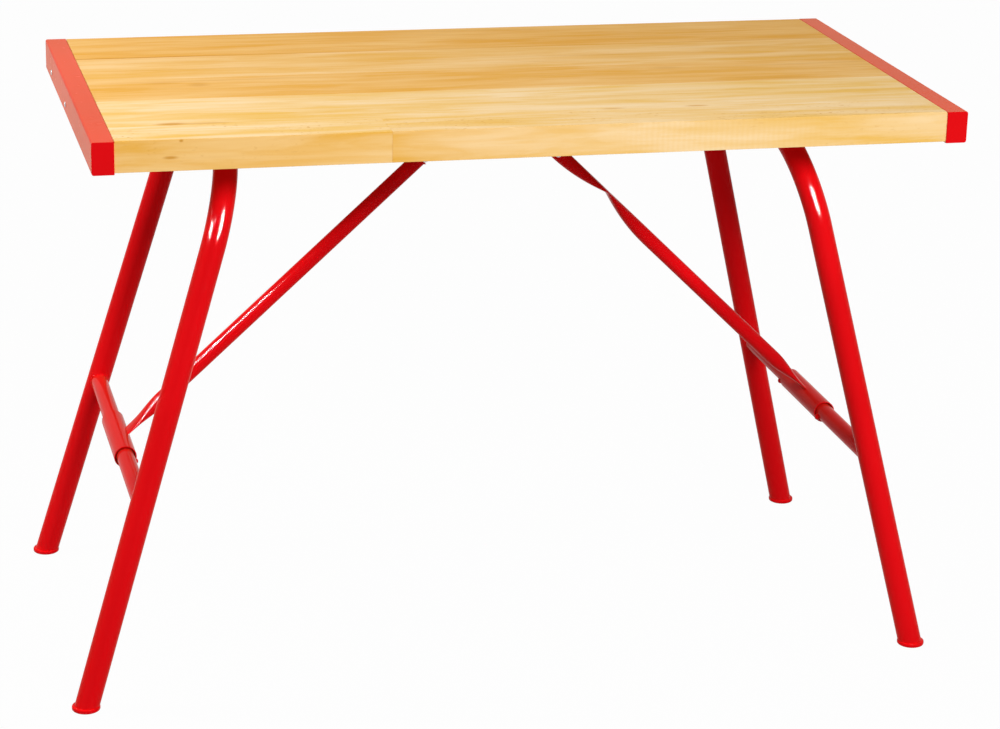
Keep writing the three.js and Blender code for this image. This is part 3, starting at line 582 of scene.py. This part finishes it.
WOODS = {
    "board_front_left": dict(gold=0.02, shift=(0.4, 0.3, 0.0), veins=0.12, flecks=0.9, face=1.0, marks=[
        mark(-484, -304.5, below=2, length=8, width=6, strength=0.9),
        mark(-498, -305, below=24, length=26, width=6, strength=0.8),
    ]),
    "board_front_right": dict(gold=0.10, shift=(3.1, 1.7, 0.4), veins=0.08, flecks=0.8, face=1.0,
                              planed=(0.08, 0.46)),
    "board_second": dict(gold=0.08, shift=(7.3, 4.1, 2.2), veins=0.10, flecks=0.1, marks=[
        mark(-486, -225, below=0, length=60, width=18, strength=0.85),
        mark(-440, -226, below=0, length=90, width=12, strength=0.5),
        mark(116, -222, below=0, length=50, width=10, strength=0.5),
        mark(236, -222, below=0, length=44, width=10, strength=0.6),
    ]),
    "board_third": dict(gold=1.0, shift=(11.9, 6.6, 1.3), veins=0.30, marks=[
        mark(-419, -8, below=0, length=44, width=34, strength=0.4),
        mark(-470, 6, below=0, length=70, width=16, strength=0.35),
        mark(262, 6, below=0, length=70, width=24, strength=0.25),
    ]),
    "board_fourth": dict(gold=0.74, shift=(17.2, 9.4, 3.8), veins=0.28),
    "board_back": dict(gold=1.18, shift=(23.8, 13.5, 5.1), veins=0.26, seam_at=BACK_SEAM_Y),
}
print("boards:", ", ".join(WOODS))

# %% Boards
SHOULDER_GAP = 0.6 * MM
TONGUE_DROP = 2.2 * MM
EASED_EDGE = 0.45 * MM
shoulder_left = left_high[0] + SHOULDER_GAP
shoulder_right = right_low[0] - SHOULDER_GAP


def make_board(name):
    low, high = (Vector(corner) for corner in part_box(name))
    clear_selection()
    from_x = max(low.x, shoulder_left)
    to_x = min(high.x, shoulder_right)
    size = (to_x - from_x, high.y - low.y, high.z - low.z)
    middle = ((from_x + to_x) / 2, (low.y + high.y) / 2, (low.z + high.z) / 2)
    bpy.ops.mesh.primitive_cube_add(size=1, location=middle, scale=size)
    piece = start_edit(f"sanded_{name}")
    tongue_top = high.z - TONGUE_DROP
    bpy.ops.mesh.select_all(action="SELECT")
    bpy.ops.mesh.bisect(plane_co=(0, 0, tongue_top), plane_no=(0, 0, 1))
    for shoulder, tip, way in ((from_x, low.x, -1), (to_x, high.x, 1)):

        def is_tongue_root(face):
            return face.normal.x * way > FACING_SHARE and face.calc_center_median().z < tongue_top

        if abs(tip - shoulder) > MM:
            pick("FACE", is_tongue_root)
            draw_out((tip - shoulder, 0, 0))
    bpy.ops.object.mode_set(mode="OBJECT")
    soften(piece, EASED_EDGE)
    finish_piece(piece, "worktop", "wood", board_wood(name, **WOODS[name]), name)


for name in WOODS:
    make_board(name)

# %% [markdown]
# ## The end channels
#
# Each end of the top wears a folded steel channel with welded ends. The outer box gets a wide bevel on
# the two folded edges, then the face towards the boards is inset by the sheet's thickness and pushed
# in, which leaves the hollow for the tongues.

# %% End channels
SHEET = 2 * MM
FOLD_RADIUS = 3 * MM
FOLD_SEGMENTS = 5
GROUND_EDGE = 0.5 * MM


def make_channel(side):
    name = f"end_channel_{side.name}"
    low, high = (Vector(corner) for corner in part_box(name))
    size = high - low
    outer_x = high.x if side.outward > 0 else low.x
    clear_selection()
    bpy.ops.mesh.primitive_cube_add(size=1, location=(high + low) / 2, scale=size)
    piece = start_edit(f"folded_{name}")

    def is_fold(edge):
        first, second = (vertex.co for vertex in edge.verts)
        along = abs(first.y - second.y) > size.y / 2
        return along and abs(first.x - outer_x) < MM and abs(second.x - outer_x) < MM

    pick("EDGE", is_fold)
    bpy.ops.mesh.bevel(offset=FOLD_RADIUS, segments=FOLD_SEGMENTS, affect="EDGES")
    pick("FACE", lambda face: face.normal.x * side.outward < -FACING_SHARE)
    bpy.ops.mesh.inset(thickness=SHEET)
    draw_out((side.outward * (size.x - SHEET), 0, 0))
    outwards()
    bpy.ops.object.mode_set(mode="OBJECT")
    soften(piece, GROUND_EDGE)
    finish_piece(piece, "worktop", "red_paint", RED_SHEET, name)


for side in SIDES:
    make_channel(side)

# %% [markdown]
# ## The leg frames
#
# One tube is bent into an upside-down U. Half of it is drawn like a tube bender works: a circle is
# pulled along the pivot bar, spun through the bend, and pulled down the leg. A level cut ends it on the
# foot, and a mirror makes the other half.

# %% Leg tubes
TUBE_SIDES = 48
BEND_STEPS = 28
SPIN_SENSE = -1
MIRROR_MERGE = 0.05 * MM


def make_leg(side):
    name = f"leg_tube_{side.name}"
    clear_selection()
    bpy.ops.mesh.primitive_circle_add(vertices=TUBE_SIDES, radius=LEG_RADIUS, fill_type="NOTHING",
                                      location=side.pivot, rotation=(QUARTER_TURN, 0, 0))
    piece = start_edit(f"bent_{name}")
    bend = QUARTER_TURN - side.splay
    bar_length = side.half_width - BEND_RADIUS * math.tan(bend / 2)
    bpy.ops.mesh.select_all(action="SELECT")
    draw_out((0, bar_length, 0))
    centre = side.pivot + side.slope * BEND_RADIUS + ACROSS * bar_length
    axis = ACROSS.cross(side.slope)
    bpy.ops.mesh.spin(steps=BEND_STEPS, angle=SPIN_SENSE * bend, center=centre, axis=axis)
    down = side.slope * math.cos(side.splay) + ACROSS * math.sin(side.splay)
    draw_out(down * side.slope_length / math.cos(side.splay))
    bpy.ops.mesh.select_all(action="SELECT")
    bpy.ops.mesh.bisect(plane_co=(0, 0, FOOT_HEIGHT), plane_no=(0, 0, -1), use_fill=True,
                        clear_outer=True)
    outwards()
    bpy.ops.object.mode_set(mode="OBJECT")
    modifier(piece, "MIRROR", use_axis=(False, True, False), merge_threshold=MIRROR_MERGE)
    bpy.ops.object.mode_set(mode="EDIT")
    outwards()
    finish_piece(piece, f"{side.name}_leg_frame", "red_paint", RED, name)
    return piece


bent_legs = [make_leg(side) for side in SIDES]

# %% [markdown]
# ## Feet
#
# The tubes end on round steel discs. A short cylinder is bevelled at both rims, as a pressed foot is
# rounded.

# %% Feet
FOOT_SIDES = 64
FOOT_ROUNDING = 2 * MM
FOOT_SEGMENTS = 4
LEVEL_WITHIN = 0.1 * MM


def make_foot(name, body):
    low, high = (Vector(corner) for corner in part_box(name))
    clear_selection()
    bpy.ops.mesh.primitive_cylinder_add(vertices=FOOT_SIDES, radius=(high.x - low.x) / 2,
                                        depth=high.z - low.z, location=(low + high) / 2)
    piece = start_edit(f"pressed_{name}")
    pick("EDGE", lambda edge: abs(edge.verts[0].co.z - edge.verts[1].co.z) < LEVEL_WITHIN)
    bpy.ops.mesh.bevel(offset=FOOT_ROUNDING, segments=FOOT_SEGMENTS, affect="EDGES")
    finish_piece(piece, body, "red_paint", RED, name)


for side in SIDES:
    for end in ENDS:
        make_foot(f"foot_{side.name}_{end}", f"{side.name}_leg_frame")

# %% [markdown]
# ## Crossbars and sleeves
#
# A thinner tube is welded between the legs of each frame, and a loose sleeve turns on it. Both start as
# open cylinders that get their wall from Solidify and their eased rims from Bevel. The crossbar runs
# just into the leg tubes, so the saddle of the joint comes by itself.

# %% Crossbars and sleeves
WELD_BITE = 4 * MM
CROSSBAR_WALL = 2 * MM
SAWN_EDGE = 0.4 * MM
SLEEVE_WALL = 1.8 * MM
SLEEVE_EDGE = 0.6 * MM


def level_tube(name, middle, radius, length, wall, edge):
    clear_selection()
    bpy.ops.mesh.primitive_cylinder_add(vertices=TUBE_SIDES, radius=radius, depth=length,
                                        end_fill_type="NOTHING", location=middle,
                                        rotation=(QUARTER_TURN, 0, 0))
    piece = start_edit(name)
    bpy.ops.object.mode_set(mode="OBJECT")
    modifier(piece, "SOLIDIFY", thickness=wall, offset=-1)
    soften(piece, edge)
    return piece


def make_crossbar(side):
    name = f"crossbar_{side.name}"
    length = 2 * (side.leg_y_at_crossbar - LEG_RADIUS + WELD_BITE)
    piece = level_tube(f"welded_{name}", side.crossbar, CROSSBAR_RADIUS, length, CROSSBAR_WALL, SAWN_EDGE)
    finish_piece(piece, f"{side.name}_leg_frame", "red_paint", RED, name)


def make_sleeve(side):
    name = f"brace_sleeve_{side.name}"
    low, high = (Vector(corner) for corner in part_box(name))
    piece = level_tube(f"turning_{name}", (low + high) / 2, SLEEVE_RADIUS, high.y - low.y, SLEEVE_WALL,
                       SLEEVE_EDGE)
    finish_piece(piece, f"{side.name}_brace", "red_paint", RED, name)


for side in SIDES:
    make_crossbar(side)
    make_sleeve(side)

# %% [markdown]
# ## Braces
#
# A brace is a tube pressed flat where it is welded to its sleeve. The right one is also dented from
# below where it crosses its pivot bar when folded. The tube is drawn upright at the origin, ring by
# ring: each ring is extruded, scaled to the section at that height and shifted, and the finished tube
# is laid along the brace's line and cut off at the hook.

# %% Brace sections
FLAT_HALF_WIDTH = 15.5 * MM
FLAT_HALF_THICKNESS = 2.4 * MM
FLAT_TAPER = 70 * MM
CRIMP_THICKNESS = 4 * MM
CRIMP_REACH = 100 * MM
WELD_GAP = 0.3 * MM


def lerp(first, second, share):
    return first + (second - first) * share


def brace_section(side, along):
    """The shift, half thickness and half width of the tube at a distance from the crossbar."""
    from_flat = along - SLEEVE_RADIUS - WELD_GAP
    if from_flat < FLAT_TAPER:
        ease = (1 - math.cos(math.pi * max(from_flat, 0) / FLAT_TAPER)) / 2
        thick = lerp(FLAT_HALF_THICKNESS, BRACE_RADIUS, ease)
        return 0, thick, lerp(FLAT_HALF_WIDTH, BRACE_RADIUS, ease)
    from_crimp = abs(along - side.crossbar_down)
    if side.crimped and from_crimp < CRIMP_REACH:
        open_share = 1 - (1 - from_crimp / CRIMP_REACH) ** 2
        thick = lerp(CRIMP_THICKNESS / 2, BRACE_RADIUS, open_share)
        return BRACE_RADIUS - thick, thick, lerp(FLAT_HALF_WIDTH, BRACE_RADIUS, open_share)
    return 0, BRACE_RADIUS, BRACE_RADIUS


# %% Where a brace's rings lie
TAPER_STEPS = 14
CRIMP_STEPS = 20


def brace_line(side):
    """The start of a brace's middle line, its way to the hook, the way square to it, and its rise."""
    reach = side.hook - side.crossbar
    steep = math.atan2(reach.z, -side.outward * reach.x)
    rise = steep - math.asin(side.brace_offset / reach.length)
    axis = Vector((-side.outward * math.cos(rise), 0, math.sin(rise)))
    over = Vector((side.outward * math.sin(rise), 0, math.cos(rise)))
    return side.crossbar + over * side.brace_offset, axis, over, rise


def brace_stations(side, length):
    nearest = max(0, side.brace_offset - FLAT_HALF_THICKNESS)
    stations = [math.sqrt(SLEEVE_RADIUS ** 2 - nearest ** 2)]
    for step in range(1, TAPER_STEPS + 1):
        stations.append(SLEEVE_RADIUS + WELD_GAP + FLAT_TAPER * step / TAPER_STEPS)
    if side.crimped:
        for step in range(-CRIMP_STEPS, CRIMP_STEPS + 1):
            share = step / CRIMP_STEPS
            stations.append(side.crossbar_down + CRIMP_REACH * share * abs(share))
    return sorted(station for station in stations if station < length - BRACE_RADIUS) + [length]


# %% Braces
BRACE_END_PAST_PIN = 5.7 * MM
BRACE_END_LEAN = math.radians(18)


def draw_brace(side, stations):
    """Draws the tube upright at the origin, one ring after another."""
    shift, thick, wide = brace_section(side, stations[0])
    bpy.ops.mesh.primitive_circle_add(vertices=TUBE_SIDES, radius=1, fill_type="NGON")
    piece = start_edit(f"pressed_brace_{side.name}")
    bpy.ops.mesh.select_all(action="SELECT")
    bpy.ops.transform.resize(value=(thick, wide, 1))
    bpy.ops.transform.translate(value=(shift, 0, stations[0]))
    for before, after in zip(stations, stations[1:]):
        new_shift, new_thick, new_wide = brace_section(side, after)
        draw_out((new_shift - shift, 0, after - before))
        bpy.ops.transform.resize(value=(new_thick / thick, new_wide / wide, 1))
        shift, thick, wide = new_shift, new_thick, new_wide
    bpy.ops.object.mode_set(mode="OBJECT")
    return piece


def make_brace(side):
    start, axis, over, rise = brace_line(side)
    length = (side.hook - start).dot(axis) + 2 * BRACE_RADIUS
    clear_selection()
    piece = draw_brace(side, brace_stations(side, length))
    laid = Matrix((over, axis.cross(over), axis)).transposed().to_4x4()
    piece.matrix_world = Matrix.Translation(start) @ laid
    bpy.ops.object.transform_apply(location=True, rotation=True, scale=True)
    bpy.ops.object.mode_set(mode="EDIT")
    bpy.ops.mesh.select_all(action="SELECT")
    tip = side.hook - Vector((side.outward, 0, 0)) * BRACE_END_PAST_PIN
    tip.z += BRACE_END_PAST_PIN * math.tan(rise) + BRACE_RADIUS / math.cos(rise)
    square_to = (-side.outward * math.cos(BRACE_END_LEAN), 0, math.sin(BRACE_END_LEAN))
    bpy.ops.mesh.bisect(plane_co=tip, plane_no=square_to, use_fill=True, clear_outer=True)
    outwards()
    finish_piece(piece, f"{side.name}_brace", "red_paint", RED, f"brace_{side.name}")
    return piece


pressed_braces = [make_brace(side) for side in SIDES]

# %% [markdown]
# ## Welds
#
# The crossbars are welded into the legs. A weld lies where two surfaces meet, as a bead with a ripple
# from each stop of the torch: here it runs round the saddle where a thin tube meets a thick one. A
# curve with a round bevel draws it, the ripple is in the radius of the curve's points, and the curve is
# then made a mesh.

# %% Weld beads
BEAD_RADIUS = 1.6 * MM
BEAD_ROUNDNESS = 3
RIPPLE_SHARE = 0.22
RIPPLE_POINTS = 5
SADDLE_POINTS = 80
WELD_SMOOTH_DEGREES = 60


def weld_bead(name, body, places):
    path = bpy.data.curves.new(name, "CURVE")
    path.dimensions = "3D"
    path.bevel_depth = BEAD_RADIUS
    path.bevel_resolution = BEAD_ROUNDNESS
    line = path.splines.new("POLY")
    line.points.add(len(places) - 1)
    line.use_cyclic_u = True
    for index, (point, place) in enumerate(zip(line.points, places)):
        point.co = (*place, 1)
        point.radius = 1 + RIPPLE_SHARE * math.cos(2 * math.pi * index / RIPPLE_POINTS)
    clear_selection()
    piece = bpy.data.objects.new(name, path)
    bpy.context.collection.objects.link(piece)
    piece.select_set(True)
    bpy.context.view_layer.objects.active = piece
    bpy.ops.object.convert(target="MESH")
    bpy.ops.object.mode_set(mode="EDIT")
    outwards()
    finish_piece(bpy.context.object, body, "red_paint", RED, smooth_degrees=WELD_SMOOTH_DEGREES)


def saddle(side, way):
    """Points round the crossbar where its surface meets the leg's: way is -1 in front, 1 at the back."""
    lean = side.slope * math.cos(side.splay)
    spread = math.sin(side.splay)
    square = 1 - spread ** 2
    places = []
    for index in range(SADDLE_POINTS):
        angle = 2 * math.pi * index / SADDLE_POINTS
        offset = Vector((math.cos(angle), 0, math.sin(angle))) * CROSSBAR_RADIUS
        slide = offset.dot(lean)
        half = slide * spread
        rest = CROSSBAR_RADIUS ** 2 - slide ** 2 - LEG_RADIUS ** 2
        inward = (half - math.sqrt(half ** 2 - square * rest)) / square
        places.append(side.crossbar + offset + ACROSS * way * (side.leg_y_at_crossbar + inward))
    return places


# %% [markdown]
# A drop of weld on the crossbar beside each end of a sleeve keeps the sleeve from sliding. A drop is
# never a true ball, so a sphere is roughened at random, always from the same seed, and smoothed again.

# %% Stops beside the sleeves
STOP_HALF = 4.6 * MM
STOP_LIFT = 1.0 * MM
STOP_GAP = 2.0 * MM
STOP_TURN = math.radians(-20)
STOP_ROUGHNESS = 0.25 * MM
STOP_SEED = 3


def weld_stop(side, end, way):
    low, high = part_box(f"brace_sleeve_{side.name}")
    sleeve_end = high[1] if way > 0 else low[1]
    inner = Vector((-side.outward * math.cos(STOP_TURN), 0, math.sin(STOP_TURN)))
    place = side.crossbar + inner * (CROSSBAR_RADIUS + STOP_LIFT)
    place.y = sleeve_end + way * (STOP_GAP + STOP_HALF)
    clear_selection()
    bpy.ops.mesh.primitive_uv_sphere_add(segments=20, ring_count=12, radius=1, location=place,
                                         scale=(STOP_HALF, STOP_HALF, STOP_HALF))
    piece = start_edit(f"stop_{side.name}_{end}")
    bpy.ops.mesh.select_all(action="SELECT")
    bpy.ops.transform.vertex_random(offset=STOP_ROUGHNESS, uniform=0.0, normal=1.0, seed=STOP_SEED)
    bpy.ops.mesh.vertices_smooth(factor=0.5, repeat=2)
    finish_piece(piece, f"{side.name}_leg_frame", "red_paint", RED, smooth_degrees=WELD_SMOOTH_DEGREES)


for side in SIDES:
    for end, way in ENDS.items():
        weld_bead(f"weld_{side.name}_{end}", f"{side.name}_leg_frame", saddle(side, way))
        weld_stop(side, end, way)

# %% [markdown]
# ## Hidden hardware
#
# The straps, brackets, pins and screws are under the top, so the solids are nearly enough. A copy of
# each is merged into one skin, its flat faces are joined, and the sharp edges are eased, because real
# steel always catches a little light along its edges. The channel screws are seen from the ends, so
# their heads also get a recess: the crown is inset and pushed in.

# %% Eased copies of the solids
EASE = 0.35 * MM
SKIN_MERGE = 0.02 * MM
FLAT_ANGLE = math.radians(1)


def ease_copy(node, body, slot, material):
    clear_selection()
    piece = bpy.data.objects.new(f"eased_{node}", frame["nodes"][node].data.copy())
    bpy.context.collection.objects.link(piece)
    piece.select_set(True)
    bpy.context.view_layer.objects.active = piece
    bpy.ops.object.mode_set(mode="EDIT")
    bpy.ops.mesh.select_all(action="SELECT")
    bpy.ops.mesh.remove_doubles(threshold=SKIN_MERGE)
    bpy.ops.mesh.dissolve_limited(angle_limit=FLAT_ANGLE)
    bpy.ops.object.mode_set(mode="OBJECT")
    soften(piece, EASE)
    finish_piece(piece, body, slot, material, node)
    return piece


# %% Recess in a screw head
RECESS_RIM = 1.6 * MM
RECESS_DEPTH = 1.1 * MM
CROWN_WITHIN = 0.05 * MM


def cut_recess(piece, outward):
    """Sinks a round recess into the crown of a channel screw."""
    clear_selection()
    piece.select_set(True)
    bpy.context.view_layer.objects.active = piece
    bpy.ops.object.mode_set(mode="EDIT")
    crown_x = max(vertex.co.x * outward for vertex in piece.data.vertices) - CROWN_WITHIN
    crown = pick("FACE", lambda face: face.calc_center_median().x * outward > crown_x)
    bpy.ops.mesh.inset(thickness=RECESS_RIM)
    draw_out((-outward * RECESS_DEPTH, 0, 0))
    bpy.ops.object.mode_set(mode="OBJECT")
    print(f"{piece.name}: recess in {crown} faces")


# %% Brackets, pins, straps and screws
for side in SIDES:
    ease_copy(f"hook_bracket_{side.name}", "worktop", "red_paint", RED)
    ease_copy(f"hook_pin_{side.name}", f"{side.name}_brace", "zinc", ZINC)
    for number in (1, 2):
        screw = ease_copy(f"channel_screw_{side.name}_{number}", "worktop", "zinc", ZINC)
        cut_recess(screw, side.outward)
        ease_copy(f"bracket_screw_{side.name}_{number}", "worktop", "zinc", ZINC)
    for end in ENDS:
        ease_copy(f"pivot_strap_{side.name}_{end}", "worktop", "zinc", ZINC)
        for number in (1, 2):
            ease_copy(f"strap_screw_{side.name}_{end}_{number}", "worktop", "zinc", ZINC)

# %% [markdown]
# ## Floor, light and background
#
# The bench stands in a white room. The floor and the room are plain white to the camera and in
# reflections, and the floor keeps a soft shadow. Lighting the paper until it is white would be one way,
# but the bench would be bleached with it, so only what is seen directly is made white.


# %% What is seen directly
def seen_directly(finish):
    """1 where the camera, a reflection or glass looks at the surface, otherwise 0."""
    kinds = ("Camera", "Glossy", "Transmission")
    rays = [finish.make("ShaderNodeLightPath", {}, {}, output=f"Is {kind} Ray") for kind in kinds]
    together = rays[0] + rays[1] + rays[2]
    return finish.make("ShaderNodeMath", {"operation": "MINIMUM"}, {0: together, 1: 1.0})


# %% Floor
FLOOR_HALF = 14
PAPER = (0.42, 0.42, 0.42, 1)
WHITE = (1, 1, 1, 1)
WHITE_SHARE = 0.98
clear_selection()
bpy.ops.mesh.primitive_plane_add(size=2 * FLOOR_HALF, location=(0, 0, 0))
floor = bpy.context.object
floor.name = "floor"
paper = Finish(bpy.data.materials.new("white_paper"))
paper.set(Base_Color=PAPER, Roughness=0.9, Specular_IOR_Level=0.0)
glow = paper.make("ShaderNodeEmission", {}, {"Color": WHITE, "Strength": 1.0})
plain_paper = Value(paper, paper.shader.outputs[0])
whitened = {0: seen_directly(paper) * WHITE_SHARE, 1: plain_paper, 2: glow}
paper.show(paper.make("ShaderNodeMixShader", {}, whitened))
floor.data.materials.append(paper.material)
print(f"floor of {2 * FLOOR_HALF} m")

# %% Room
ROOM_LIGHT = 0.25
bpy.context.scene.world = bpy.data.worlds.new("white_room")
room = Finish(bpy.context.scene.world, "Background")
direct = seen_directly(room)
room.set(Color=WHITE, Strength=direct + (1 - direct) * ROOM_LIGHT)
print("the room lights the bench at", ROOM_LIGHT)

# %% [markdown]
# ## Lamps
#
# The room's light is low and even, and three soft lamps give it a direction. A large one stands in
# front and above, right of the middle, and leaves the tubes dark close under the top. A small low one
# on the left reaches under the top, and a weak one hangs over the top's left end.


# %% Lamps
def area_lamp(name, place, target, size, watts):
    data = bpy.data.lights.new(name, "AREA")
    data.shape = "RECTANGLE"
    data.size, data.size_y = size
    data.energy = watts
    lamp = bpy.data.objects.new(name, data)
    bpy.context.collection.objects.link(lamp)
    lamp.location = place
    lamp.rotation_euler = (Vector(target) - Vector(place)).to_track_quat("-Z", "Y").to_euler()
    lamp.visible_camera = False
    print(f"{name}: {watts} W")


area_lamp("front_window", place=(0.7, -3.4, 2.7), target=(0.0, -0.2, 0.5), size=(1.6, 1.2), watts=116)
area_lamp("left_window", place=(-2.2, 0.3, 1.6), target=(-0.2, 0, 0.6), size=(0.34, 0.34), watts=22)
area_lamp("roof_window", place=(-0.9, 0.1, 2.3), target=(-0.5, 0, 0.8), size=(0.5, 0.5), watts=6)

# %% [markdown]
# ## Reflection cards
#
# Gloss paint shows the lights around it. Stronger lamps would draw brighter spots, but they would wash
# out the wood, so cards are held up instead, as a photographer does. A card here glows and is see-through,
# it lights nothing, and light linking lets only the named tubes reflect it. The one in front draws the
# spots on the bends of the legs. The one on the left draws the thin line along the left brace, which
# ends where the top hides the card.


# %% Reflection cards
def reflection_card(name, place, target, size, glow, tubes):
    """A bright see-through card that only the given tubes reflect, and that lights nothing."""
    clear_selection()
    facing = (Vector(target) - Vector(place)).to_track_quat("-Z", "Y").to_euler()
    bpy.ops.mesh.primitive_plane_add(size=1, location=place, rotation=facing, scale=(*size, 1))
    card = bpy.context.object
    card.name = name
    bpy.ops.object.transform_apply(location=True, rotation=True, scale=True)
    lit = Finish(bpy.data.materials.new(f"lit_{name}"))
    shine = lit.make("ShaderNodeEmission", {}, {"Color": WHITE, "Strength": glow})
    clear = lit.make("ShaderNodeBsdfTransparent", {}, {})
    lit.show(lit.make("ShaderNodeAddShader", {}, {0: shine, 1: clear}))
    lit.material.cycles.emission_sampling = "FRONT_BACK"
    card.data.materials.append(lit.material)
    mirrors = bpy.data.collections.new(f"tubes_that_show_{name}")
    for tube in tubes:
        mirrors.objects.link(tube)
    card.light_linking.receiver_collection = mirrors
    card.visible_camera = False
    card.visible_diffuse = False
    card.visible_shadow = False
    print(f"{name}: seen in {len(tubes)} tubes")


left_tubes = [bent_legs[0], pressed_braces[0]]
reflection_card("front_card", place=(0.35, -2.0, 1.45), target=(0.0, -0.25, 0.67), size=(3.0, 0.66),
                glow=1100, tubes=bent_legs)
reflection_card("left_card", place=(-1.74, -0.72, 1.67), target=(-0.34, 0.0, 0.44), size=(0.14, 0.46),
                glow=520, tubes=left_tubes)

# %% View settings
bpy.context.scene.view_settings.view_transform = "Standard"
print("colours are shown as", bpy.context.scene.view_settings.view_transform)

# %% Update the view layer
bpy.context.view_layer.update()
